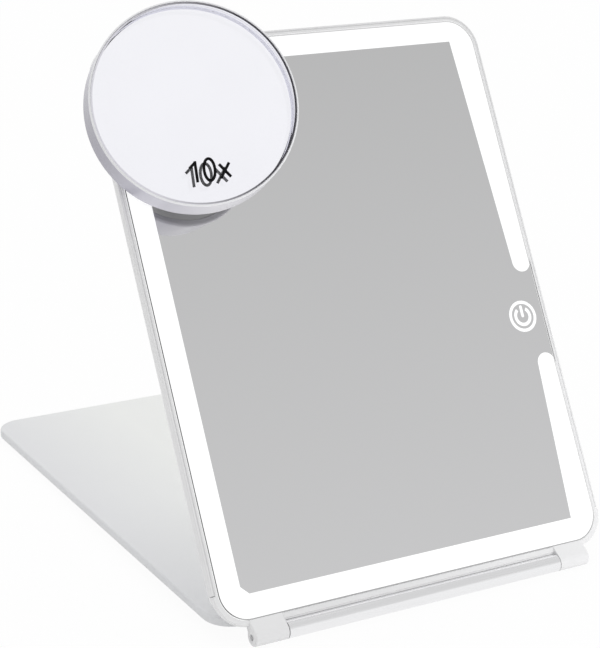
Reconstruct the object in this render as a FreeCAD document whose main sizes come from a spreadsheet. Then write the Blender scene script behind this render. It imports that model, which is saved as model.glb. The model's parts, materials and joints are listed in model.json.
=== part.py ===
import FreeCAD, Part
import Sketcher
import math
import os
import re

# Lighted makeup mirror with a lid that swings round the bottom hinge to be its stand,
# and a magnifier held on by a magnet. Millimetres and degrees.
#
# Part frame: +Z up, +X to the right seen from the front, the mirror faces -Y.
# The origin lies on the table under the middle of the hinge.

SIZES = {
    # Stance: how far the panel leans back from upright
    "lean_angle": 31.6,
    # Panel outline
    "panel_width": 172.6,
    "panel_height": 221.2,
    "panel_thick": 6.8,
    "panel_corner": 13.5,
    # Front frame: visible rim, shadow groove, ledge behind the glass
    "rim_width": 2.3,
    "lip_width": 0.8,
    "groove_width": 0.3,
    "lip_setback": 0.3,
    "frame_depth": 2.5,
    "ledge_width": 1.6,
    "strip_skin": 0.4,
    "front_round": 0.4,
    "apron_thick": 1.2,
    "barrel_play": 0.08,
    # Rear shell
    "shell_wall": 2.0,
    "back_skin": 1.0,
    "side_flat": 0.3,
    "shell_rise": 7.5,
    # Glass and the lit band etched into it
    "glass_thick": 1.5,
    "glass_recess": 0.15,
    "glass_gap": 0.25,
    "tape_thick": 0.15,
    "inner_gap": 0.25,
    "band_left": 9.25,
    "band_low": 9.25,
    "band_top": 8.75,
    "band_right": 11.4,
    "band_end": 8.3,
    "band_gap": 33.8,
    "gap_lift": 1.0,
    "band_bevel": 3.0,
    # Touch key on the glass
    "key_side": 9.8,
    "key_rise": 91.5,
    "key_ring": 12.8,
    "key_stroke": 1.3,
    "key_sign": 8.1,
    "key_open_angle": 35.0,
    "key_depth": 0.3,
    "touch_radius": 5.5,
    "touch_thick": 0.2,
    # Diffuser film, light strips and reflector
    "film_width": 11.9,
    "strip_width": 5.0,
    "strip_thick": 0.6,
    "strip_margin": 6.0,
    "chip_length": 2.8,
    "chip_thick": 0.7,
    "chip_pitch": 11.0,
    "reflector_thick": 0.3,
    # Battery and main board
    "battery_width": 62.0,
    "battery_height": 92.0,
    "battery_thick": 2.6,
    "battery_round": 1.0,
    "battery_side": 24.0,
    "board_width": 26.0,
    "board_thick": 1.0,
    "board_side": 5.0,
    "part_thick": 1.1,
    # Charging inlet and charge light
    "inlet_width": 8.94,
    "inlet_height": 3.16,
    "inlet_wall": 0.35,
    "inlet_length": 7.3,
    "inlet_setback": 1.4,
    "inlet_drop": 8.0,
    "tongue_thick": 0.7,
    "light_radius": 1.0,
    "light_length": 4.0,
    "light_setback": 0.8,
    "light_rise": 6.0,
    # Hinge
    "axis_drop": 4.0,
    "axis_setback": 0.5,
    "barrel_radius": 3.4,
    "knuckle_inset": 11.6,
    "knuckle_length": 13.8,
    "knuckle_round": 0.8,
    "knuckle_gap": 0.3,
    "pin_radius": 1.25,
    "pin_setback": 1.5,
    "pin_reach": 12.0,
    "pin_play": 0.04,
    "bush_radius": 2.4,
    "bush_length": 14.0,
    # Leaf of the hinge barrel
    "leaf_low": 0.8,
    "leaf_thick": 1.0,
    "leaf_bend": 3.9,
    "leaf_angle": 45.0,
    "leaf_reach": 24.0,
    "leaf_margin": 2.0,
    "screw_reach": 16.0,
    "screw_margin": 12.0,
    "screw_radius": 1.0,
    "screw_head": 1.9,
    "screw_head_thick": 0.5,
    # Cover
    "cover_front": 6.0,
    "cover_far": 219.5,
    "cover_inset": 0.8,
    "cover_corner": 11.0,
    "cover_rise": 2.3,
    "cover_thick": 3.2,
    "cover_round": 0.8,
    "cover_wall": 2.0,
    "plate_thick": 1.0,
    "plate_gap": 0.2,
    # Rubber feet
    "foot_radius": 5.0,
    "foot_thick": 1.5,
    "foot_round": 0.5,
    "foot_inset": 10.0,
    "foot_side": 20.0,
    # Magnifier: place of its ball on the panel, then base and head
    "ball_side": 30.35,
    "ball_fall": 32.0,
    "ball_reach": 9.8,
    "head_turn": 12.0,
    "ball_radius": 3.0,
    "ball_play": 0.06,
    "stem_radius": 1.7,
    "base_radius": 14.0,
    "base_thick": 3.4,
    "base_round": 1.0,
    "pad_thick": 0.6,
    "pad_lift": 0.15,
    "magnet_radius": 9.0,
    "magnet_thick": 2.2,
    "keeper_radius": 13.0,
    "keeper_thick": 0.6,
    "head_radius": 39.3,
    "head_thick": 13.0,
    "head_round": 1.2,
    "head_front_round": 0.6,
    "head_wall": 2.4,
    "lens_radius": 38.5,
    "lens_thick": 5.0,
    "lens_sag": 0.5,
    "lens_recess": 0.25,
    "lens_gap": 0.1,
    "silver_thick": 0.15,
    "back_plate": 2.0,
    "ball_inset": 1.4,
    "socket_wall": 2.0,
    "socket_floor": 1.2,
    # How far a cut runs past the material
    "overrun": 1.0,
}

# Shares of the sizes that carry them
BATTERY_RISE_SHARE = 0.5
SIGN_STROKE_SHARE = 1.05
BAR_TOP_SHARE = 1.12
BAR_FOOT_SHARE = 0.05
# Left, right, low and high shares of the board for each part on it
BOARD_PART_SHARES = (
    (0.04, 0.34, 0.62, 0.95),
    (0.04, 0.28, 0.08, 0.34),
    (0.48, 0.72, 0.70, 0.95),
)
SCREW_COUNT = 5

doc = FreeCAD.newDocument("makeup_mirror")
sheet = doc.addObject("Spreadsheet::Sheet", "Sizes")
for row, (size_name, size_value) in enumerate(SIZES.items(), start=1):
    sheet.set(f"A{row}", size_name)
    sheet.set(f"B{row}", str(size_value))
    sheet.setAlias(f"B{row}", size_name)
doc.recompute()

PARTS = []
TINY = 1e-4


def bind(text):
    """Write the sheet's name before every size in an expression."""
    return re.sub(
        r"[a-z][a-z_]*",
        lambda found: f"Sizes.{found.group()}" if found.group() in SIZES else found.group(),
        text,
    )


def measure(text):
    """The present value of an expression, in millimetres."""
    return float(sheet.evalExpression(bind(text)))


# Derived lengths, in the panel's own frame: x from the middle, y from the front plane
# to the back, z up from the panel's lower edge.
HALF = "(panel_width / 2)"
GLASS_HALF = "(panel_width / 2 - rim_width)"
GLASS_LOW = "rim_width"
GLASS_TOP = "(panel_height - rim_width)"
BEZEL_INSET = "(lip_width + groove_width)"
GLASS_BACK = "(glass_recess + glass_thick)"
FLOOR = "(panel_thick - back_skin)"
BACK_ROUND = "(panel_thick - frame_depth - side_flat)"
STRIP_INSET = f"({BACK_ROUND} + inner_gap)"
KEY_X = f"({GLASS_HALF} - key_side)"
KEY_Z = f"({GLASS_LOW} + key_rise)"
GAP_Z = f"({KEY_Z} + gap_lift)"
INLET_Y = f"({FLOOR} - inlet_height / 2)"
INLET_Z = f"({KEY_Z} - inlet_drop)"
KNUCKLE_OUT = f"({HALF} - knuckle_inset)"
KNUCKLE_IN = f"({KNUCKLE_OUT} - knuckle_length)"
BARREL_HALF = f"({KNUCKLE_IN} - knuckle_gap)"
BALL_X = f"(ball_side - {HALF})"
BALL_Z = "(panel_height - ball_fall)"
COVER_TOP = "(cover_rise + cover_thick)"
LEAF_UP = "(cover_rise + plate_thick)"
FOOT_U = "(cover_far - foot_inset)"
HEAD_FRONT = "(ball_inset - head_thick)"

# The four frames. The cover slopes down to its feet, because the barrel lifts its front.
PANEL_FRAME = (
    "placement(vector(0; -axis_setback; barrel_radius + axis_drop); "
    "rotation(vector(1; 0; 0); -lean_angle); vector(0; axis_setback; -axis_drop))"
)
FOOT_FALL = "(cover_rise - foot_thick + foot_round)"
FOOT_EDGE = f"({FOOT_U} + foot_radius - foot_round)"
COVER_SLOPE = (
    f"(asin((barrel_radius - foot_round) / sqrt({FOOT_FALL} ^ 2 + {FOOT_EDGE} ^ 2))"
    f" + atan({FOOT_FALL} / {FOOT_EDGE}))"
)
COVER_FRAME = (
    f"placement(vector(0; 0; barrel_radius); rotation(vector(1; 0; 0); -{COVER_SLOPE}))"
)
BASE_FRAME = (
    f"{PANEL_FRAME} * placement(vector({BALL_X}; -ball_reach; {BALL_Z});"
    " rotation(vector(0; 0; 1); 0))"
)
HEAD_FRAME = (
    f"{PANEL_FRAME} * placement(vector({BALL_X}; -ball_reach; {BALL_Z});"
    " rotation(vector(0; 0; 1); -head_turn))"
)


def new_body(label):
    """A named body."""
    body = doc.addObject("PartDesign::Body", label)
    body.Label = label
    body.AllowCompound = True
    return body


def new_part(label, frame):
    """A body that is a sub-part of its own, in one of the four frames."""
    body = new_body(label)
    body.setExpression("Placement", bind(frame))
    PARTS.append(body)
    return body


def new_sketch(body, plane, offset):
    """A sketch on one of the body's origin planes, moved along the plane's normal."""
    sketch = body.newObject("Sketcher::SketchObject", f"{body.Name}_sketch")
    support = [item for item in body.Origin.OriginFeatures if item.Role == plane]
    sketch.AttachmentSupport = [(support[0], "")]
    sketch.MapMode = "FlatFace"
    sketch.setExpression("AttachmentOffset.Base.z", bind(offset))
    return sketch


def front_sketch(body, depth):
    """A sketch seen from the front, so far behind the front plane."""
    return new_sketch(body, "XZ_Plane", f"-({depth})")


def tie(sketch, constraint, expression):
    """Add a dimension to a sketch and bind it to the sheet."""
    index = sketch.addConstraint(constraint)
    sketch.renameConstraint(index, f"size_{index}")
    sketch.setExpression(f"Constraints.size_{index}", bind(expression))


def tie_point(sketch, item, end, x, y):
    """Fix one point of a sketch item at two bound distances from the origin."""
    tie(sketch, Sketcher.Constraint("DistanceX", -1, 1, item, end, measure(x)), x)
    tie(sketch, Sketcher.Constraint("DistanceY", -1, 1, item, end, measure(y)), y)


def draw_circle(sketch, x, y, radius):
    centre = FreeCAD.Vector(measure(x), measure(y), 0)
    circle = Part.Circle(centre, FreeCAD.Vector(0, 0, 1), measure(radius))
    item = sketch.addGeometry(circle)
    tie_point(sketch, item, 3, x, y)
    tie(sketch, Sketcher.Constraint("Radius", item, measure(radius)), radius)


def arc_between(start, end, centre, turns_left):
    """The arc from start to end round a centre, to the left or to the right."""
    first = math.atan2(start.y - centre.y, start.x - centre.x)
    last = math.atan2(end.y - centre.y, end.x - centre.x)
    if not turns_left:
        first, last = last, first
    if last <= first:
        last += 2 * math.pi
    circle = Part.Circle(centre, FreeCAD.Vector(0, 0, 1), start.distanceToPoint(centre))
    return Part.ArcOfCircle(circle, first, last)


def draw_path(sketch, nodes):
    """A closed outline. Each node is (x, y), and the edge that leaves it is straight,
    or (x, y, centre x, centre y, turns left), and the edge that leaves it is an arc."""
    points = [FreeCAD.Vector(measure(node[0]), measure(node[1]), 0) for node in nodes]
    items = []
    for index, node in enumerate(nodes):
        start = points[index]
        end = points[(index + 1) % len(nodes)]
        if len(node) == 2:
            items.append((sketch.addGeometry(Part.LineSegment(start, end)), 1, 2))
            continue
        centre = FreeCAD.Vector(measure(node[2]), measure(node[3]), 0)
        item = sketch.addGeometry(arc_between(start, end, centre, node[4]))
        items.append((item, 1, 2) if node[4] else (item, 2, 1))
        chord = end - start
        if abs(chord.x) > abs(chord.y):
            tie(sketch, Sketcher.Constraint("DistanceY", -1, 1, item, 3, centre.y), node[3])
        else:
            tie(sketch, Sketcher.Constraint("DistanceX", -1, 1, item, 3, centre.x), node[2])
    for index, node in enumerate(nodes):
        item, start_end, _ = items[index]
        before, _, before_end = items[index - 1]
        sketch.addConstraint(Sketcher.Constraint("Coincident", before, before_end, item, start_end))
        tie_point(sketch, item, start_end, node[0], node[1])


def rounded(left, right, low, high, low_radius, high_radius):
    """Nodes of an upright rectangle with round corners, two radii."""
    return [
        (f"{left} + {low_radius}", low),
        (f"{right} - {low_radius}", low, f"{right} - {low_radius}", f"{low} + {low_radius}", True),
        (right, f"{low} + {low_radius}"),
        (right, f"{high} - {high_radius}", f"{right} - {high_radius}", f"{high} - {high_radius}", True),
        (f"{right} - {high_radius}", high),
        (f"{left} + {high_radius}", high, f"{left} + {high_radius}", f"{high} - {high_radius}", True),
        (left, f"{high} - {high_radius}"),
        (left, f"{low} + {low_radius}", f"{left} + {low_radius}", f"{low} + {low_radius}", True),
    ]


def rectangle(left, right, low, high):
    return [(left, low), (right, low), (right, high), (left, high)]


def arch(half, low, high, radius):
    """Nodes of an upright rectangle whose two upper corners are round."""
    return [
        (f"-{half}", low),
        (half, low),
        (half, f"{high} - {radius}", f"{half} - {radius}", f"{high} - {radius}", True),
        (f"{half} - {radius}", high),
        (f"{radius} - {half}", high, f"{radius} - {half}", f"{high} - {radius}", True),
        (f"-{half}", f"{high} - {radius}"),
    ]


def panel_outline(inset):
    """The panel's round-cornered outline, drawn in by an inset."""
    side = f"({HALF} - {inset})"
    radius = f"(panel_corner - {inset})"
    return rounded(f"-{side}", side, f"({inset})", f"(panel_height - {inset})", radius, radius)


def cover_outline(inset):
    """The cover's round-cornered outline, drawn in by an inset."""
    side = f"({HALF} - cover_inset - {inset})"
    radius = f"(cover_corner - {inset})"
    near = f"(cover_front + {inset})"
    far = f"(cover_far - {inset})"
    return rounded(f"-{side}", side, near, far, radius, radius)


def stadium(y, z, width, height):
    """Nodes of a slot with round ends: its width runs along z, its height along y."""
    radius = f"({height} / 2)"
    reach = f"({width} / 2 - {height} / 2)"
    return [
        (f"{y} + {radius}", f"{z} - {reach}"),
        (f"{y} + {radius}", f"{z} + {reach}", y, f"{z} + {reach}", True),
        (f"{y} - {radius}", f"{z} + {reach}"),
        (f"{y} - {radius}", f"{z} - {reach}", y, f"{z} - {reach}", True),
    ]


def pad(body, sketch, length, reverse=False):
    feature = body.newObject("PartDesign::Pad", f"{body.Name}_pad")
    feature.Profile = sketch
    feature.setExpression("Length", bind(length))
    feature.Reversed = reverse
    doc.recompute()
    return feature


def pocket(body, sketch, length, reverse=False):
    before = body.Shape.Volume
    feature = body.newObject("PartDesign::Pocket", f"{body.Name}_pocket")
    feature.Profile = sketch
    feature.setExpression("Length", bind(length))
    feature.Reversed = reverse
    doc.recompute()
    if body.Shape.Volume >= before:
        raise RuntimeError(f"a pocket of {body.Label} cuts nothing")
    return feature


def layer(body, nodes, depth, thick):
    """A sheet of the panel: an outline seen from the front, so deep and so thick."""
    sketch = front_sketch(body, depth)
    draw_path(sketch, nodes)
    return pad(body, sketch, thick, reverse=True)


def layer_cut(body, nodes, depth, thick):
    """A cut into a sheet of the panel, from a depth towards the back."""
    sketch = front_sketch(body, depth)
    draw_path(sketch, nodes)
    return pocket(body, sketch, thick)


def plate(body, nodes, height, thick):
    """A sheet of the cover: an outline seen from above, so high and so thick."""
    sketch = new_sketch(body, "XY_Plane", height)
    draw_path(sketch, nodes)
    return pad(body, sketch, thick)


def plate_cut(body, nodes, height, thick):
    """A cut into a sheet of the cover, from a height upwards."""
    sketch = new_sketch(body, "XY_Plane", height)
    draw_path(sketch, nodes)
    return pocket(body, sketch, thick, reverse=True)


def rod(body, x, y, z, radius, length):
    """A round bar along X."""
    sketch = new_sketch(body, "YZ_Plane", x)
    draw_circle(sketch, y, z, radius)
    return pad(body, sketch, length)


def bore(body, x, y, z, radius, length):
    """A round hole along X, from its lower end."""
    sketch = new_sketch(body, "YZ_Plane", x)
    draw_circle(sketch, y, z, radius)
    return pocket(body, sketch, length, reverse=True)


def disc(body, x, z, radius, depth, thick):
    """A round sheet of the panel."""
    sketch = front_sketch(body, depth)
    draw_circle(sketch, x, z, radius)
    return pad(body, sketch, thick, reverse=True)


def turned(body, nodes):
    """A body of revolution about its y axis, from a half section."""
    sketch = new_sketch(body, "XY_Plane", "0")
    draw_path(sketch, nodes)
    feature = body.newObject("PartDesign::Revolution", f"{body.Name}_turn")
    feature.Profile = sketch
    feature.ReferenceAxis = (sketch, ["V_Axis"])
    doc.recompute()
    return feature


def round_edges(body, wanted, radius):
    """Fillet the edges of a body that a test picks."""
    tip = body.Tip
    names = [f"Edge{number}" for number, edge in enumerate(tip.Shape.Edges, start=1) if wanted(edge)]
    if not names:
        raise RuntimeError(f"no edge of {body.Label} to round")
    feature = body.newObject("PartDesign::Fillet", f"{body.Name}_fillet")
    feature.Base = (tip, names)
    feature.setExpression("Radius", bind(radius))
    doc.recompute()
    return feature


def lies_at(edge, axis, place):
    """True where an edge lies in the plane square to an axis at a place."""
    box = edge.BoundBox
    low = getattr(box, f"{axis}Min")
    high = getattr(box, f"{axis}Max")
    return abs(low - place) < TINY and abs(high - place) < TINY


def panel_inset(point):
    """How far a point lies inside the panel's outline, seen from the front."""
    radius = measure("panel_corner")
    middle = measure("panel_height / 2")
    across = abs(point.x) - measure(f"{HALF} - panel_corner")
    up = abs(point.z - middle) - measure("panel_height / 2 - panel_corner")
    outside = math.hypot(max(across, 0), max(up, 0))
    return radius - outside - min(max(across, up), 0)


def middle_of(edge):
    return edge.valueAt((edge.FirstParameter + edge.LastParameter) / 2)


def touch_point(y, z, side):
    """Where a line from a point touches the barrel's circle, on the front or the back of it."""
    across = f"({y} - axis_setback)"
    up = f"({z} + axis_drop)"
    reach = f"sqrt({across} ^ 2 + {up} ^ 2)"
    angle = f"(atan2({up}; {across}) {side} acos(barrel_radius / {reach}))"
    return (f"axis_setback + barrel_radius * cos({angle})", f"barrel_radius * sin({angle}) - axis_drop")


def knuckle_section():
    """A knuckle's section: round the barrel below, drawn straight up into the bezel."""
    front = touch_point("0", "rim_width", "+")
    back = touch_point("frame_depth", "0", "-")
    return [
        ("0", "rim_width"),
        (*front, "axis_setback", "-axis_drop", True),
        back,
        ("frame_depth", "0"),
        ("frame_depth", "rim_width"),
    ]


def make_knuckles():
    """The two hinge knuckles, in the front frame's own frame, rounded at their outer ends."""
    body = new_body("knuckles")
    for start in (f"-{KNUCKLE_OUT}", KNUCKLE_IN):
        sketch = new_sketch(body, "YZ_Plane", start)
        draw_path(sketch, knuckle_section())
        pad(body, sketch, "knuckle_length")
    end = measure(KNUCKLE_OUT)
    round_edges(
        body,
        lambda edge: (lies_at(edge, "X", end) or lies_at(edge, "X", -end))
        and edge.BoundBox.ZMin < -TINY,
        "knuckle_round",
    )
    return body


def make_front_frame():
    """Bezel: narrow beside the shell's lip, full width below, two knuckles, an apron between them."""
    body = new_part("front_frame", PANEL_FRAME)
    layer(body, panel_outline("0"), "0", "frame_depth")
    step = "(panel_corner - groove_width)"
    side = f"({HALF} - {BEZEL_INSET})"
    high = f"(panel_height - {BEZEL_INSET})"
    radius = f"(panel_corner - {BEZEL_INSET})"
    past_side = f"({HALF} + overrun)"
    past_top = "(panel_height + overrun)"
    outside = [
        (past_side, step),
        (past_side, past_top),
        (f"-{past_side}", past_top),
        (f"-{past_side}", step),
        (f"-{side}", step),
        (f"-{side}", f"{high} - {radius}", f"{radius} - {side}", f"{high} - {radius}", False),
        (f"{radius} - {side}", high),
        (f"{side} - {radius}", high, f"{side} - {radius}", f"{high} - {radius}", False),
        (side, f"{high} - {radius}"),
        (side, step),
    ]
    layer_cut(body, outside, "0", "frame_depth")
    shortest = measure("rim_width")
    round_edges(
        body,
        lambda edge: lies_at(edge, "Y", 0) and edge.Length > shortest,
        "front_round",
    )
    apron_end = f"({KNUCKLE_IN} + knuckle_length / 2)"
    apron = rectangle(f"-{apron_end}", apron_end, "-axis_drop", "rim_width")
    layer(body, apron, "front_round", "apron_thick")
    seat = "barrel_radius + barrel_play"
    bore(body, f"-{apron_end}", "axis_setback", "-axis_drop", seat, f"2 * {apron_end}")
    fused = body.newObject("PartDesign::Boolean", f"{body.Name}_fuse")
    fused.setObjects([make_knuckles()])
    doc.recompute()
    for start in (f"-{KNUCKLE_OUT}", KNUCKLE_IN):
        bore(body, start, "axis_setback", "-axis_drop", "pin_radius", "knuckle_length")
    layer_cut(body, panel_outline("(rim_width - glass_gap)"), "0", f"{GLASS_BACK} + tape_thick")
    layer_cut(body, panel_outline("(rim_width + ledge_width)"), "0", "frame_depth - strip_skin")
    opening = f"({HALF} - rim_width - ledge_width)"
    window = arch(
        opening,
        "(shell_rise + shell_wall)",
        "(panel_height - rim_width - ledge_width)",
        "(panel_corner - rim_width - ledge_width)",
    )
    layer_cut(body, window, "0", "frame_depth")


def make_rear_shell():
    """Rear tray: thin lip round the bezel, rounded back, inlet and charge light holes."""
    body = new_part("rear_shell", PANEL_FRAME)
    low_radius = "(panel_corner - shell_rise)"
    outline = rounded(f"-{HALF}", HALF, "shell_rise", "panel_height", low_radius, "panel_corner")
    layer(body, outline, "frame_depth", "panel_thick - frame_depth")
    lip = arch(HALF, "panel_corner", "panel_height", "panel_corner")
    layer(body, lip, "lip_setback", "frame_depth - lip_setback")
    back = measure("panel_thick")
    round_edges(body, lambda edge: lies_at(edge, "Y", back), BACK_ROUND)
    rabbet = arch(
        f"({HALF} - lip_width)",
        "(panel_corner - overrun)",
        "(panel_height - lip_width)",
        "(panel_corner - lip_width)",
    )
    layer_cut(body, rabbet, "lip_setback", "frame_depth - lip_setback")
    inside = rounded(
        f"(shell_wall - {HALF})",
        f"({HALF} - shell_wall)",
        "(shell_rise + shell_wall)",
        "(panel_height - shell_wall)",
        f"({low_radius} - shell_wall)",
        "(panel_corner - shell_wall)",
    )
    layer_cut(body, inside, "frame_depth", f"{FLOOR} - frame_depth")
    floor = measure(FLOOR)
    round_edges(body, lambda edge: lies_at(edge, "Y", floor), f"{BACK_ROUND} - shell_wall")
    front = measure("lip_setback")
    round_edges(
        body,
        lambda edge: lies_at(edge, "Y", front) and panel_inset(middle_of(edge)) < TINY,
        "front_round",
    )
    start = f"({HALF} - {BACK_ROUND} - overrun)"
    through = f"({BACK_ROUND} + 2 * overrun)"
    slot = new_sketch(body, "YZ_Plane", start)
    draw_path(slot, stadium(INLET_Y, INLET_Z, "inlet_width", "inlet_height"))
    pocket(body, slot, through, reverse=True)
    bore(body, start, INLET_Y, f"({KEY_Z} + light_rise)", "light_radius", through)


def mirror_outline():
    """The silvered area: all of the glass but the lit band, so it reaches the edge at the key."""
    left = f"(band_left - {GLASS_HALF})"
    right = f"({GLASS_HALF} - band_right)"
    end = f"({GLASS_HALF} - band_end)"
    low = f"({GLASS_LOW} + band_low)"
    high = f"({GLASS_TOP} - band_top)"
    upper = f"({GAP_Z} + band_gap / 2 + band_end / 2)"
    lower = f"({GAP_Z} - band_gap / 2 - band_end / 2)"
    middle = f"({GLASS_HALF} - band_end / 2)"
    return [
        (f"{left} + band_bevel", low),
        (right, low),
        (end, lower, middle, lower, False),
        (GLASS_HALF, lower),
        (GLASS_HALF, upper, middle, upper, False),
        (end, upper),
        (right, high),
        (left, high),
        (left, f"{low} + band_bevel"),
    ]


def draw_power_ring(sketch):
    draw_circle(sketch, KEY_X, KEY_Z, "key_ring / 2")
    draw_circle(sketch, KEY_X, KEY_Z, "key_ring / 2 - key_stroke")


def draw_power_arc(sketch):
    """The open circle of the power sign."""
    outer = "(key_sign / 2)"
    inner = f"(key_sign / 2 - {SIGN_STROKE_SHARE} * key_stroke)"
    across = "sin(key_open_angle * 1 deg)"
    up = "cos(key_open_angle * 1 deg)"
    nodes = [
        (f"{KEY_X} - {outer} * {across}", f"{KEY_Z} + {outer} * {up}", KEY_X, KEY_Z, True),
        (f"{KEY_X} + {outer} * {across}", f"{KEY_Z} + {outer} * {up}"),
        (f"{KEY_X} + {inner} * {across}", f"{KEY_Z} + {inner} * {up}", KEY_X, KEY_Z, False),
        (f"{KEY_X} - {inner} * {across}", f"{KEY_Z} + {inner} * {up}"),
    ]
    draw_path(sketch, nodes)


def draw_power_bar(sketch):
    """The upright bar of the power sign, with round ends."""
    radius = "(key_stroke / 2)"
    high = f"({KEY_Z} + {BAR_TOP_SHARE} * key_sign / 2 - {radius})"
    low = f"({KEY_Z} + {BAR_FOOT_SHARE} * key_sign / 2)"
    nodes = [
        (f"{KEY_X} + {radius}", low),
        (f"{KEY_X} + {radius}", high, KEY_X, high, True),
        (f"{KEY_X} - {radius}", high),
        (f"{KEY_X} - {radius}", low, KEY_X, low, True),
    ]
    draw_path(sketch, nodes)


KEY_MARKS = (draw_power_ring, draw_power_arc, draw_power_bar)


def make_glass():
    """The glass sheet: silvered area, lit band and the etched marks of the touch key."""
    mirror = new_part("mirror_glass", PANEL_FRAME)
    layer(mirror, mirror_outline(), "glass_recess", "glass_thick")
    icon = new_part("touch_icon", PANEL_FRAME)
    for draw_mark in KEY_MARKS:
        sketch = front_sketch(mirror, "glass_recess")
        draw_mark(sketch)
        pocket(mirror, sketch, "key_depth")
        sketch = front_sketch(icon, "glass_recess")
        draw_mark(sketch)
        pad(icon, sketch, "key_depth", reverse=True)
    window = new_part("light_window", PANEL_FRAME)
    layer(window, panel_outline("rim_width"), "glass_recess", "glass_thick")
    layer_cut(window, mirror_outline(), "glass_recess", "glass_thick")
    tape = new_part("glass_tape", PANEL_FRAME)
    layer(tape, panel_outline("rim_width"), GLASS_BACK, "tape_thick")
    layer_cut(tape, panel_outline("(rim_width + ledge_width)"), GLASS_BACK, "tape_thick")


def make_lighting():
    """Opal film behind the lit band, light strips behind it, white sheet on the floor."""
    inset = "(rim_width + ledge_width + inner_gap)"
    film = new_part("diffuser_film", PANEL_FRAME)
    film_thick = f"(frame_depth - strip_skin - {GLASS_BACK})"
    layer(film, panel_outline(inset), GLASS_BACK, film_thick)
    inner = f"({inset} + film_width)"
    window = rectangle(f"{inner} - {HALF}", f"{HALF} - {inner}", inner, f"panel_height - {inner}")
    layer_cut(film, window, GLASS_BACK, film_thick)
    beside_key = rectangle(
        f"{HALF} - {inner} - overrun",
        HALF,
        f"{GAP_Z} - band_gap / 2",
        f"{GAP_Z} + band_gap / 2",
    )
    layer_cut(film, beside_key, GLASS_BACK, film_thick)

    sheet_body = new_part("reflector_sheet", PANEL_FRAME)
    side = f"({HALF} - {STRIP_INSET})"
    low = f"(shell_rise + {STRIP_INSET})"
    high = f"(panel_height - {STRIP_INSET})"
    top = f"({FLOOR} - reflector_thick)"
    low_radius = f"(panel_corner - shell_rise - {STRIP_INSET})"
    high_radius = f"(panel_corner - {STRIP_INSET})"
    outline = rounded(f"-{side}", side, low, high, low_radius, high_radius)
    layer(sheet_body, outline, top, "reflector_thick")
    for_board = rectangle(
        f"{HALF} - board_side - board_width - inner_gap",
        HALF,
        f"{GAP_Z} - band_gap / 2",
        f"{GAP_Z} + band_gap / 2",
    )
    layer_cut(sheet_body, for_board, top, "reflector_thick")

    corner = f"({STRIP_INSET} + strip_width + strip_margin)"
    left = f"-{side}"
    right = f"({side} - strip_width)"
    above_key = f"({GAP_Z} + band_gap / 2)"
    below_key = f"({GAP_Z} - band_gap / 2)"
    upright = (
        ("led_strip_left", left, f"(shell_rise + {corner})", f"(panel_height - {corner})"),
        ("led_strip_right_lower", right, f"(shell_rise + {corner})", below_key),
        ("led_strip_right_upper", right, above_key, f"(panel_height - {corner})"),
    )
    for label, x, start, stop in upright:
        make_strip(label, x, start, f"({stop} - {start})", True)
    across = f"(panel_width - 2 * {corner})"
    make_strip("led_strip_bottom", f"({corner} - {HALF})", low, across, False)
    make_strip("led_strip_top", f"({corner} - {HALF})", f"({high} - strip_width)", across, False)


def make_strip(label, x, z, length, upright):
    """A light strip: a narrow board with a row of light chips on its front."""
    body = new_part(label, PANEL_FRAME)
    board = f"({FLOOR} - reflector_thick - strip_thick)"
    margin = "(strip_width / 2 - chip_length / 2)"
    end_x, end_z = (f"{x} + strip_width", f"{z} + {length}")
    if not upright:
        end_x, end_z = (f"{x} + {length}", f"{z} + strip_width")
    layer(body, rectangle(x, end_x, z, end_z), board, "strip_thick")
    chip_x = f"({x} + {margin})"
    chip_z = f"({z} + {margin})"
    chip = rectangle(chip_x, f"{chip_x} + chip_length", chip_z, f"{chip_z} + chip_length")
    first = layer(body, chip, f"({board} - chip_thick)", "chip_thick")
    row = body.newObject("PartDesign::LinearPattern", f"{body.Name}_row")
    row.Originals = [first]
    row.Direction = (first.Profile[0], ["V_Axis" if upright else "H_Axis"])
    row.setExpression("Length", bind(f"{length} - strip_width"))
    row.Occurrences = int(measure(f"({length} - strip_width) / chip_pitch")) + 1
    body.Tip = row
    doc.recompute()


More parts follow.
